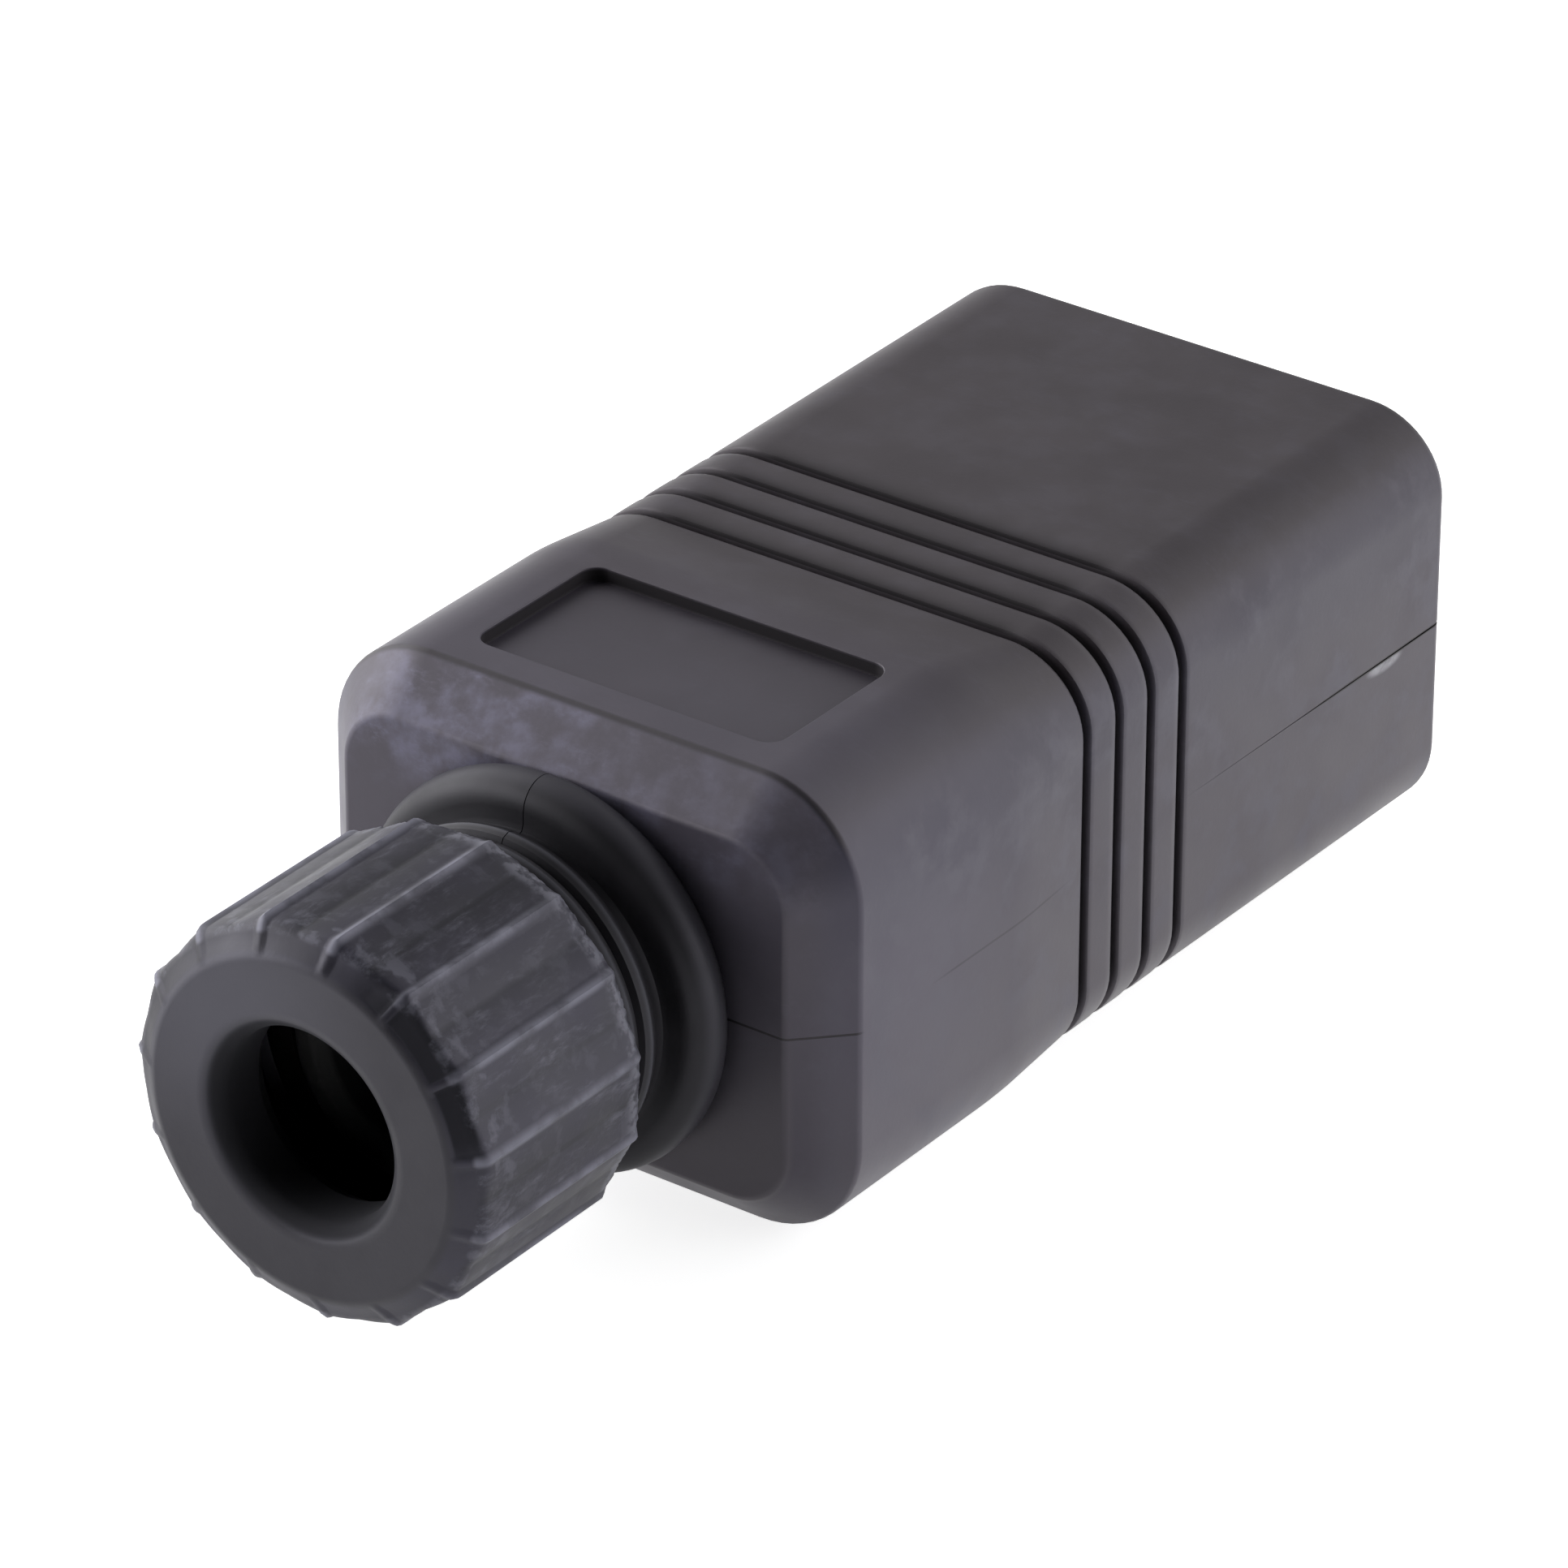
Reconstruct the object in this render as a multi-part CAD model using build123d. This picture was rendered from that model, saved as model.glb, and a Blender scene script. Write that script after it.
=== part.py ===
from build123d import *
import math
import os

# In-line rewirable mains plug in millimetres. X runs across the plug, Y from the cord gland to the
# mating end, Z up. The origin is under the middle of the plug, on the plane that its nose rests on.

# Housing, outside: a chamfered nose, a tapered waist with finger grooves and a plain tail to its end
body_length = 58.05
nose_width = 35.6
nose_height = 28.0
nose_corner = 6.6
nose_length = 15.2
nose_chamfer_length = 3.0
nose_chamfer_inset = 2.9
nose_edge_ease = 0.4
taper_length = 6.15
waist_width = 34.5
waist_height = 25.7
waist_corner = 5.3
groove_count = 4
groove_pitch = 3.1
groove_width = 1.3
groove_floor = 0.4
groove_depth = 0.9
tail_width = 34.7
tail_height = 25.9
tail_corner = 5.1
rim_round = 0.8
rim_steps = 3

# Label recess on top of the nose
label_width = 20.4
label_length = 10.9
label_corner = 1.2
label_depth = 0.85
label_setback = 2.4

# Housing, inside
wall = 3.1
front_wall = 3.2
cavity_corner = 2.5
parting_gap = 0.1
lip_height = 1.2
lip_thickness = 1.1
seat_clearance = 0.1

# Mating recess and the pin carrier that forms its floor
recess_width = 28.5
recess_height = 20.5
recess_corner = 2.5
recess_depth = 19.5
carrier_flange = 3.5
carrier_lap = 1.1
carrier_boss = 4.5

# Contact pins: flat blades with a pillar terminal behind the carrier
pin_width = 8.0
pin_thickness = 2.0
pin_spacing = 13.0
pin_length = 16.0
pin_tip = 0.6
earth_offset = 8.0
earth_lead = 1.2
pin_clearance = 0.05
terminal_width = 9.0
terminal_height = 6.4
terminal_length = 9.0
terminal_edge = 0.5
wire_radius = 1.8
terminal_screw_radius = 1.5
terminal_screw_offset = 1.2
terminal_head_radius = 2.5
terminal_head_height = 1.5
terminal_head_lift = 0.6

# Screws that hold the shells together, driven from below
column_radius = 4.1
column_sink = 0.7
column_setback = 9.2
screw_radius = 1.4
screw_length = 14.0
screw_seat = 6.0
head_radius = 2.7
head_height = 2.0
drive_width = 0.9
drive_length = 3.2
drive_depth = 1.1

# Cord grip in two halves: inner flange, collar in the front wall, round flange, neck for the nut
grip_bore = 6.6
inner_flange_radius = 12.6
inner_flange_length = 2.2
collar_radius = 10.2
flange_radius = 12.0
flange_length = 3.3
neck_radius = 9.9
neck_length = 10.6
neck_edge = 0.6
grip_split = 0.2

# Rubber seal in the mouth of the neck
seal_radius = 7.6
seal_bore = 5.2
seal_length = 6.0
seal_stand = 0.6
seal_edge = 0.7

# Gland nut and the washer between nut and seal
thread_gap = 4.9
thread_clearance = 0.1
nut_length = 14.55
nut_radius = 12.0
nut_rib_count = 15
nut_rib_depth = 0.65
nut_rib_turn = 8.0
nut_front_wall = 3.65
nut_bore = 5.7
nut_lip = 1.3
nut_face_radius = 10.1
nut_shoulder = 1.3
nut_mouth_edge = 0.5
washer_thickness = 1.0
washer_bore = 6.3
washer_clearance = 0.3
washer_gap = 0.1

# Stations along the length, worked out from the sizes above
gland_reach = nose_chamfer_length + flange_length + thread_gap + nut_length
rear_y = (body_length + gland_reach) / 2
nose_y = rear_y - body_length
face_y = nose_y - nose_chamfer_length
shoulder_y = nose_y + nose_length
waist_y = shoulder_y + taper_length
flange_y = face_y - flange_length
neck_end_y = flange_y - neck_length
nut_rear_y = flange_y - thread_gap
nut_front_y = nut_rear_y - nut_length
recess_floor_y = rear_y - recess_depth
seat_end_y = recess_floor_y - carrier_flange
carrier_front_y = seat_end_y - carrier_boss
axis_z = nose_height / 2
live_z = axis_z - earth_offset / 2
earth_z = axis_z + earth_offset / 2

nose_cavity_width = nose_width - 2 * wall
nose_cavity_height = nose_height - 2 * wall
waist_cavity_width = waist_width - 2 * wall
waist_cavity_height = waist_height - 2 * wall
column_x = nose_cavity_width / 2 - column_radius + column_sink
column_y = nose_y + column_setback
far = body_length + gland_reach


def across(y):
    """Plane across the plug at a station, with X to the side and Z up."""
    return Plane(origin=(0, y, axis_z), x_dir=(1, 0, 0), z_dir=(0, -1, 0))


def block(low, high):
    """Box between two opposite corners."""
    size = [b - a for a, b in zip(low, high)]
    middle = [(a + b) / 2 for a, b in zip(low, high)]
    return Pos(*middle) * Box(*size)


def bar(width, height, corner, start_y, end_y):
    """Bar of rounded rectangular section on the plug's axis, from one station to another."""
    return extrude(across(start_y) * RectangleRounded(width, height, corner), start_y - end_y)


def turned(points):
    """Solid of revolution about the plug's axis from (radius, y) points."""
    outline = make_face(Polyline(*points, close=True))
    return Pos(0, 0, axis_z) * revolve(outline, Axis.Y)


def upright(radius, x, y, low_z, high_z):
    """Upright cylinder between two heights."""
    return Pos(x, y, (low_z + high_z) / 2) * Cylinder(radius, high_z - low_z)


# Outside of the housing: stations of (y, width, height, corner radius)
def inset(station, depth, shift=0.0):
    """Station set in by a depth all round and moved along the length."""
    y, width, height, corner = station
    return (y + shift, width - 2 * depth, height - 2 * depth, corner - depth)


def part_way(start, end, reach):
    """Station at a distance from start on the straight line to end."""
    run = math.hypot(end[0] - start[0], (end[2] - start[2]) / 2)
    return tuple(a + (b - a) * reach / run for a, b in zip(start, end))


def eased(before, bend, after, reach):
    """Three stations that round off a bend in the outline."""
    first = part_way(bend, before, reach)
    last = part_way(bend, after, reach)
    middle = tuple((a + 2 * b + c) / 4 for a, b, c in zip(first, bend, last))
    return [first, middle, last]


def housing_stations():
    edge = (nose_y, nose_width, nose_height, nose_corner)
    face = inset(edge, nose_chamfer_inset, -nose_chamfer_length)
    shoulder = (shoulder_y, nose_width, nose_height, nose_corner)
    stations = eased(inset(face, nose_edge_ease), face, edge, nose_edge_ease)
    stations += eased(face, edge, shoulder, nose_edge_ease)
    stations.append(shoulder)
    flank = (groove_width - groove_floor) / 2
    for number in range(groove_count):
        lip = (waist_y + number * groove_pitch, waist_width, waist_height, waist_corner)
        stations.append(lip)
        stations.append(inset(lip, groove_depth, flank))
        stations.append(inset(lip, groove_depth, flank + groove_floor))
        stations.append(inset(lip, 0, groove_width))
    tail = (rear_y, tail_width, tail_height, tail_corner)
    for step in range(rim_steps + 1):
        turn = math.radians(90 * step / rim_steps)
        stations.append(inset(tail, rim_round * (1 - math.cos(turn)), rim_round * (math.sin(turn) - 1)))
    return stations


def housing_outside():
    sections = [across(y) * RectangleRounded(width, height, corner)
                for y, width, height, corner in housing_stations()]
    return loft(sections, ruled=True)


def housing_voids():
    """Everything that is hollow in the two shells together."""
    recess = bar(recess_width, recess_height, recess_corner, recess_floor_y, rear_y + seat_clearance)
    lap = 2 * carrier_lap + 2 * seat_clearance
    seat = bar(recess_width + lap, recess_height + lap, recess_corner + carrier_lap,
               seat_end_y - seat_clearance, recess_floor_y + seat_clearance)
    waist = bar(waist_cavity_width, waist_cavity_height, cavity_corner, face_y + front_wall, recess_floor_y)
    nose = bar(nose_cavity_width, nose_cavity_height, cavity_corner, face_y + front_wall, shoulder_y)
    collar = turned([(0, face_y - seat_clearance), (collar_radius + seat_clearance, face_y - seat_clearance),
                     (collar_radius + seat_clearance, nose_y + front_wall), (0, nose_y + front_wall)])
    return recess + seat + waist + nose + collar


def screw_columns(low_z, high_z):
    return [upright(column_radius, side * column_x, column_y, low_z, high_z) for side in (-1, 1)]


def lap_lips(growth):
    """Lips of the lap joint along the two long walls, grown on every free side by a clearance."""
    inner_x = waist_cavity_width / 2
    lips = []
    for side in (-1, 1):
        edges = sorted((side * (inner_x - growth), side * (inner_x + lip_thickness + growth)))
        low = (edges[0], shoulder_y - growth, axis_z - lip_height)
        high = (edges[1], seat_end_y - carrier_lap + growth, axis_z + lip_height + growth)
        lips.append(block(low, high))
    return lips


outside = housing_outside()
hollow = outside - housing_voids()
split_low = axis_z - parting_gap / 2
split_high = axis_z + parting_gap / 2
lower_half = block((-far, -far, -far), (far, far, split_low))
upper_half = block((-far, -far, split_high), (far, far, far))


def make_lower_shell():
    shell = hollow & lower_half
    for column in screw_columns(0, split_low):
        shell += column & outside
    for side in (-1, 1):
        shell -= upright(head_radius + seat_clearance, side * column_x, column_y, -head_height, screw_seat)
        shell -= upright(screw_radius + seat_clearance, side * column_x, column_y, 0, axis_z)
    for lip in lap_lips(0):
        shell += lip
    return shell


def make_upper_shell():
    shell = hollow & upper_half
    for column in screw_columns(split_high, nose_height - wall):
        shell += column
    tip_z = screw_seat + screw_length + head_height
    for side in (-1, 1):
        shell -= upright(screw_radius + seat_clearance, side * column_x, column_y, 0, tip_z)
    for lip in lap_lips(seat_clearance):
        shell -= lip
    label = RectangleRounded(label_width, label_length, label_corner)
    label_y = nose_y + label_setback + label_length / 2
    shell -= extrude(Pos(0, label_y, nose_height - label_depth) * label, 2 * label_depth)
    return shell


def make_housing_screws():
    """Pan head below its seat, shank up into the upper shell, cross recess underneath."""
    screws = []
    for side in (-1, 1):
        x = side * column_x
        screw = upright(head_radius, x, column_y, screw_seat - head_height, screw_seat)
        screw += upright(screw_radius, x, column_y, screw_seat, screw_seat + screw_length)
        drive_z = screw_seat - head_height + drive_depth / 2
        for width, length in ((drive_width, drive_length), (drive_length, drive_width)):
            screw -= Pos(x, column_y, drive_z) * Box(width, length, drive_depth)
        screws.append(screw)
    return screws


def pin_places():
    """Name, side and height of each contact pin."""
    return {
        "live_pin": (-pin_spacing / 2, live_z, pin_length),
        "neutral_pin": (pin_spacing / 2, live_z, pin_length),
        "earth_pin": (0.0, earth_z, pin_length + earth_lead),
    }


def screw_place(x, z):
    """Place of the terminal screw on top of a pin's pillar."""
    outward = math.copysign(terminal_screw_offset, x) if x else 0.0
    return x + outward, carrier_front_y - pin_clearance - terminal_length / 2, z + terminal_height / 2


def make_pin(x, z, length):
    top_y = recess_floor_y + length
    root_y = carrier_front_y - pin_clearance
    half_width = pin_width / 2
    half_thickness = pin_thickness / 2
    blade = block((x - half_width, root_y, z - half_thickness), (x + half_width, top_y, z + half_thickness))
    blade = chamfer(blade.faces().sort_by(Axis.Y)[-1].edges(), pin_tip)
    low = (x - terminal_width / 2, root_y - terminal_length, z - terminal_height / 2)
    high = (x + terminal_width / 2, root_y, z + terminal_height / 2)
    pillar = block(low, high)
    pillar = chamfer(pillar.edges().filter_by(Axis.Y), terminal_edge)
    screw_x, screw_y, top_z = screw_place(x, z)
    wire = Plane(origin=(screw_x, root_y - terminal_length, z), z_dir=(0, 1, 0)) * Circle(wire_radius)
    pin = blade + pillar
    pin -= extrude(wire, terminal_length - terminal_edge)
    pin -= upright(terminal_screw_radius + pin_clearance, screw_x, screw_y, z, top_z + terminal_edge)
    return pin


def make_terminal_screws():
    """Slotted screws that stand a little above their pillars, as they do before a wire is clamped."""
    screws = []
    for x, z, length in pin_places().values():
        screw_x, screw_y, top_z = screw_place(x, z)
        under_head = top_z + terminal_head_lift
        head_top = under_head + terminal_head_height
        screw = upright(terminal_screw_radius, screw_x, screw_y, z + wire_radius, under_head)
        screw += upright(terminal_head_radius, screw_x, screw_y, under_head, head_top)
        slot = Box(2 * terminal_head_radius, drive_width, terminal_head_height)
        screw -= Pos(screw_x, screw_y, head_top) * slot
        screws.append(screw)
    return screws


def make_pin_carrier():
    lap = 2 * carrier_lap
    flange_corner = recess_corner + carrier_lap
    flange = bar(recess_width + lap, recess_height + lap, flange_corner, seat_end_y, recess_floor_y)
    boss_width = waist_cavity_width - 2 * seat_clearance
    boss_height = waist_cavity_height - 2 * seat_clearance
    carrier = flange + bar(boss_width, boss_height, cavity_corner, carrier_front_y, seat_end_y)
    slot_width = pin_width + 2 * pin_clearance
    slot_thickness = pin_thickness + 2 * pin_clearance
    for x, z, length in pin_places().values():
        low = (x - slot_width / 2, carrier_front_y, z - slot_thickness / 2)
        high = (x + slot_width / 2, recess_floor_y, z + slot_thickness / 2)
        carrier -= block(low, high)
    return carrier


def make_cord_grip():
    """The whole grip, before it is split into its two halves."""
    inner_y = face_y + front_wall + seat_clearance
    outer_y = face_y - seat_clearance
    bead = (outer_y - flange_y) / 2
    mouth_y = neck_end_y + seal_length - seal_stand + seat_clearance
    mouth_radius = seal_radius + seat_clearance
    with BuildLine() as outline:
        Polyline((grip_bore, inner_y), (collar_radius, inner_y), (collar_radius, outer_y),
                 (flange_radius - bead, outer_y))
        ThreePointArc((flange_radius - bead, outer_y), (flange_radius, outer_y - bead),
                      (flange_radius - bead, flange_y))
        Polyline((flange_radius - bead, flange_y), (neck_radius, flange_y),
                 (neck_radius, neck_end_y + neck_edge), (neck_radius - neck_edge, neck_end_y),
                 (mouth_radius, neck_end_y), (mouth_radius, mouth_y), (grip_bore, mouth_y),
                 (grip_bore, inner_y))
    sleeve = Pos(0, 0, axis_z) * revolve(make_face(outline.line), Axis.Y)
    back_y = inner_y + inner_flange_length
    ring = turned([(grip_bore, inner_y), (inner_flange_radius, inner_y),
                   (inner_flange_radius, back_y), (grip_bore, back_y)])
    key_height = nose_cavity_height / 2 - seat_clearance
    key = block((-far, -far, axis_z - key_height), (far, far, axis_z + key_height))
    return sleeve + (ring & key)


def make_grip_half(side):
    low_x, high_x = sorted((side * grip_split / 2, side * far))
    return make_cord_grip() & block((low_x, -far, -far), (high_x, far, far))


def make_cable_seal():
    front_y = neck_end_y - seal_stand
    back_y = front_y + seal_length
    return turned([(seal_bore + seal_edge, front_y), (seal_radius - seal_edge, front_y),
                   (seal_radius, front_y + seal_edge), (seal_radius, back_y), (seal_bore, back_y),
                   (seal_bore, front_y + seal_edge)])


def nut_section():
    """Section of the nut without its ribs: lipped bore, flat face, sloping shoulder, thread room."""
    room = neck_radius + thread_clearance
    inner_y = nut_front_y + nut_front_wall
    lip_y = nut_front_y + nut_lip
    lip_radius = nut_bore + nut_lip
    corner = nut_lip * (1 - math.sqrt(0.5))
    with BuildLine() as outline:
        ThreePointArc((nut_bore, lip_y), (nut_bore + corner, nut_front_y + corner), (lip_radius, nut_front_y))
        Polyline((lip_radius, nut_front_y), (nut_face_radius, nut_front_y),
                 (nut_radius, nut_front_y + nut_shoulder), (nut_radius, nut_rear_y),
                 (room + nut_mouth_edge, nut_rear_y), (room, nut_rear_y - nut_mouth_edge),
                 (room, inner_y), (nut_bore, inner_y), (nut_bore, lip_y))
    return Pos(0, 0, axis_z) * revolve(make_face(outline.line), Axis.Y)


def make_gland_nut():
    """Nut with shallow V ribs that run out on the shoulder, the cord bore and room for the thread."""
    low_radius = nut_radius - nut_rib_depth
    corners = []
    for number in range(nut_rib_count):
        tip = math.radians(nut_rib_turn + 360 * number / nut_rib_count)
        valley = tip + math.pi / nut_rib_count
        corners.append((nut_radius * math.cos(tip), nut_radius * math.sin(tip)))
        corners.append((low_radius * math.cos(valley), low_radius * math.sin(valley)))
    star = make_face(Polyline(*corners, close=True))
    return extrude(across(nut_front_y) * star, -nut_length) & nut_section()


def make_slip_washer():
    outer = neck_radius + thread_clearance - washer_clearance
    front_y = nut_front_y + nut_front_wall + washer_gap
    return turned([(washer_bore, front_y), (outer, front_y), (outer, front_y + washer_thickness),
                   (washer_bore, front_y + washer_thickness)])


nodes = {
    "upper_shell": make_upper_shell(),
    "lower_shell": make_lower_shell(),
    "housing_screws": make_housing_screws(),
    "pin_carrier": make_pin_carrier(),
    "terminal_screws": make_terminal_screws(),
    "grip_half_left": make_grip_half(-1),
    "grip_half_right": make_grip_half(1),
    "cable_seal": make_cable_seal(),
    "gland_nut": make_gland_nut(),
    "slip_washer": make_slip_washer(),
}
for pin_name, place in pin_places().items():
    nodes[pin_name] = make_pin(*place)

os.makedirs("parts", exist_ok=True)
for node_name, shape in nodes.items():
    solids = [piece for part in (shape if isinstance(shape, list) else [shape]) for piece in part.solids()]
    export_step(solids[0] if len(solids) == 1 else Compound(children=solids), f"parts/{node_name}.step")
    print(node_name, len(solids), "solid(s)", round(sum(piece.volume for piece in solids)), "mm3")
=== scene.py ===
import math
import bmesh
import bpy
from mathutils import Matrix, Vector


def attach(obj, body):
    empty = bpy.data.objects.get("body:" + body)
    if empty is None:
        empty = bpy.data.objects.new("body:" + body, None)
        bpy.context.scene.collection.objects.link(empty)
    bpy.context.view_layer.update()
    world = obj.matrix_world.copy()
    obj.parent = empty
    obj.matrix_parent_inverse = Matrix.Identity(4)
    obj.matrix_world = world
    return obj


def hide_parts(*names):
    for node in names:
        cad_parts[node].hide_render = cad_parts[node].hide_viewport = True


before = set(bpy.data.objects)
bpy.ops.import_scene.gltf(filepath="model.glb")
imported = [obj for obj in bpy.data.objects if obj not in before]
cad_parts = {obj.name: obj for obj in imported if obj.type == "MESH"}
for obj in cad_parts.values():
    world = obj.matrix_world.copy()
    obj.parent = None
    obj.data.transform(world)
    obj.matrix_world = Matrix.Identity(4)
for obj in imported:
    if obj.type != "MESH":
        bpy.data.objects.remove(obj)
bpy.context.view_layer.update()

axisZ = 14.0  # height of the plug's axis; pieces are modelled in mm and shrunk to metres at the end
mm = 0.001  # one millimetre in metres
near = 0.001  # mm within which verts lie at one place
mergeGap = 0.0005  # mm within which verts are merged
alongAxis = (math.pi / 2, 0, 0)  # turns a flat primitive to face along the plug
print("frame loaded,", len(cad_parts), "nodes")


# small helpers for working by hand in edit mode

def deselectAll():
    if bpy.context.object and bpy.context.object.mode != "OBJECT":
        bpy.ops.object.mode_set(mode="OBJECT")
    bpy.ops.object.select_all(action="DESELECT")


def work(piece):  # the one selected and active piece
    deselectAll()
    piece.select_set(True)
    bpy.context.view_layer.objects.active = piece


def rescale(piece, scale):  # size a piece and put its place into its mesh
    work(piece)
    piece.scale = scale
    bpy.ops.object.transform_apply(location=True, rotation=True, scale=True)


def begin(kind, scale=(1, 1, 1), **settings):  # a primitive at its size and place
    deselectAll()
    makers = bpy.ops.mesh
    add = {"plane": makers.primitive_plane_add, "cube": makers.primitive_cube_add,
           "circle": makers.primitive_circle_add, "cylinder": makers.primitive_cylinder_add}[kind]
    add(**settings)
    piece = bpy.context.object
    rescale(piece, scale)
    return piece


def openEdit(piece):  # edit mode with everything selected
    work(piece)
    bpy.ops.object.mode_set(mode="EDIT")
    bpy.ops.mesh.select_all(action="SELECT")


def closeEdit():
    bpy.ops.object.mode_set(mode="OBJECT")


def pick(kind, test):  # select verts, edges or faces of the open piece by their place
    bpy.ops.mesh.select_mode(type=kind)
    bpy.ops.mesh.select_all(action="DESELECT")
    mesh = bpy.context.object.data
    shape = bmesh.from_edit_mesh(mesh)
    parts = {"VERT": shape.verts, "EDGE": shape.edges, "FACE": shape.faces}[kind]
    for part in parts:
        if test(part):
            part.select_set(True)
    shape.select_flush_mode()
    bmesh.update_edit_mesh(mesh)


def middle(part):  # middle of an edge or a face
    return sum((v.co for v in part.verts), Vector()) / len(part.verts)


def outRadius(point):  # distance from the plug's axis
    return math.hypot(point.x, point.z - axisZ)


def roundTurn(point):  # degrees round the axis, from +X towards +Z
    return math.degrees(math.atan2(point.z - axisZ, point.x)) % 360


def atStation(y):  # test for edges or faces that lie at one station
    return lambda part: all(abs(v.co.y - y) < near for v in part.verts)


def extrude(x, y, z):  # draw new mesh out of what is picked
    bpy.ops.mesh.extrude_region_move(TRANSFORM_OT_translate={"value": (x, y, z)})


def resize(scale, centre):
    bpy.ops.transform.resize(value=scale, center_override=centre)


def bevel(offset, steps, what="EDGES"):
    bpy.ops.mesh.bevel(offset=offset, segments=steps, affect=what)


def faceOutwards():
    bpy.ops.mesh.select_all(action="SELECT")
    bpy.ops.mesh.remove_doubles(threshold=mergeGap)
    bpy.ops.mesh.normals_make_consistent(inside=False)


def modify(piece, kind, **settings):  # add a modifier, set it and apply it
    work(piece)
    bpy.ops.object.modifier_add(type=kind)
    step = piece.modifiers[-1]
    for name, value in settings.items():
        setattr(step, name, value)
    bpy.ops.object.modifier_apply(modifier=step.name)


def carve(piece, tool, operation="DIFFERENCE"):
    modify(piece, "BOOLEAN", object=tool, operation=operation, solver="EXACT")
    bpy.data.objects.remove(tool)


def copyOf(piece, name):
    work(piece)
    bpy.ops.object.duplicate()
    twin = bpy.context.object
    twin.name = name
    return twin


def fuse(piece, other):
    work(piece)
    other.select_set(True)
    bpy.ops.object.join()


def keepSide(piece, point, direction):  # cut the piece flat and keep what lies ahead of the cut
    openEdit(piece)
    bpy.ops.mesh.bisect(plane_co=point, plane_no=direction, use_fill=True, clear_inner=True)
    closeEdit()


def smooth(piece, angle):
    work(piece)
    bpy.ops.object.shade_smooth_by_angle(angle=math.radians(angle))
    modify(piece, "WEIGHTED_NORMAL", keep_sharp=True)


def seat(piece, body, node):  # a finished piece takes its node's place
    rescale(piece, (mm, mm, mm))
    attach(piece, body)
    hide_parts(node)
    print("made", piece.name, len(piece.data.polygons), "faces")


# housing: one hollow box grown station by station, then parted into two shells

housingForm = {
    "nose": (35.6, 28.0), "noseCorner": 6.6, "cornerSteps": 14, "cornerSlack": 1.0,
    "noseY": -16.15, "chamfer": (2.9, 3.0), "chamferSoft": 0.25, "softSteps": 3,
    "shoulderY": -0.95, "shoulderSoft": 1.1, "shoulderSteps": 4, "shoulderOut": (16.0, 12.0),
    "waist": (34.5, 25.7), "waistCorner": 5.3, "waistY": 5.2, "grooves": 4, "groovePitch": 3.1,
    "grooveShape": [  # distance along the waist and depth
        (-0.4, 0.0), (-0.15, 0.015), (0.08, 0.045), (0.22, 0.1), (0.31, 0.2), (0.37, 0.42), (0.42, 0.66),
        (0.5, 0.8), (0.78, 0.8), (0.86, 0.68), (0.9, 0.4), (0.94, 0.14), (1.0, 0.05), (1.12, 0.015),
        (1.3, 0.0)],
    "tail": (34.7, 25.9), "rearY": 41.9, "rim": 0.8, "rimSteps": 5, "rimFlat": 1.7,
    "innerRim": [(0.09, 0.03), (0.15, 0.12)], "innerRimEnd": 0.36,
    "recess": (28.5, 20.5), "recessFloorY": 22.5, "seat": (30.9, 22.9), "seatEndY": 18.8,
    "waistRoom": (28.3, 19.5), "noseRoom": (29.4, 21.8), "frontWallY": -15.95,
    "collarHole": 10.3, "collarSides": 128, "collarTool": (6.0, 1.5),  # length, and its middle from the wall
    "partingGap": 0.004, "rearGape": 0.06, "gapeStart": 1.0, "smooth": 32,
    "column": 4.1, "columnX": 11.3, "columnY": -6.95, "columnRoot": 0.5, "holeSides": 48,
    "screwHole": 1.5, "screwRun": (2.0, 22.0), "headHole": 2.8, "headRun": (-1.0, 6.0),
    "label": (20.4, 10.9), "labelCorner": 1.2, "labelSteps": 8, "labelY": -8.3, "labelDepth": 0.85,
    "labelSoft": (0.07, 0.105), "labelSlack": 0.01, "labelClear": 3.0,
}


def growTo(end, y, size):  # extrude the picked end to a station and size it there
    extrude(0, y - end["y"], 0)
    resize((size[0] / end["size"][0], 1, size[1] / end["size"][1]), (0, y, axisZ))
    end["y"] = y
    end["size"] = size


def tightenCorners(form, end, corner, wanted):  # draw each corner's arc towards the sharp corner or away
    reach = corner + form["cornerSlack"]
    scale = wanted / corner
    for side in (-1, 1):
        for rise in (-1, 1):
            sharp = Vector((side * end["size"][0] / 2, end["y"], axisZ + rise * end["size"][1] / 2))
            pick("VERT", lambda v: abs(v.co.y - end["y"]) < near
                 and abs(v.co.x - sharp.x) < reach and abs(v.co.z - sharp.z) < reach)
            resize((scale, 1, scale), sharp)
    pick("FACE", atStation(end["y"]))


def growOutside(form):  # nose, shoulder, grooved waist and tail
    end = {"y": form["noseY"], "size": form["nose"]}
    growTo(end, form["shoulderY"], form["nose"])
    growTo(end, form["waistY"], form["waist"])
    tightenCorners(form, end, form["noseCorner"], form["waistCorner"])
    corner = form["waistCorner"]
    for number in range(form["grooves"]):
        for along, depth in form["grooveShape"]:
            y = form["waistY"] + number * form["groovePitch"] + along
            if y > end["y"] + near:
                growTo(end, y, [size - 2 * depth for size in form["waist"]])
                tightenCorners(form, end, corner, form["waistCorner"] - depth)
                corner = form["waistCorner"] - depth
    growTo(end, form["rearY"] - form["rim"], form["tail"])
    faceOutwards()
    pick("FACE", atStation(end["y"]))


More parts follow.
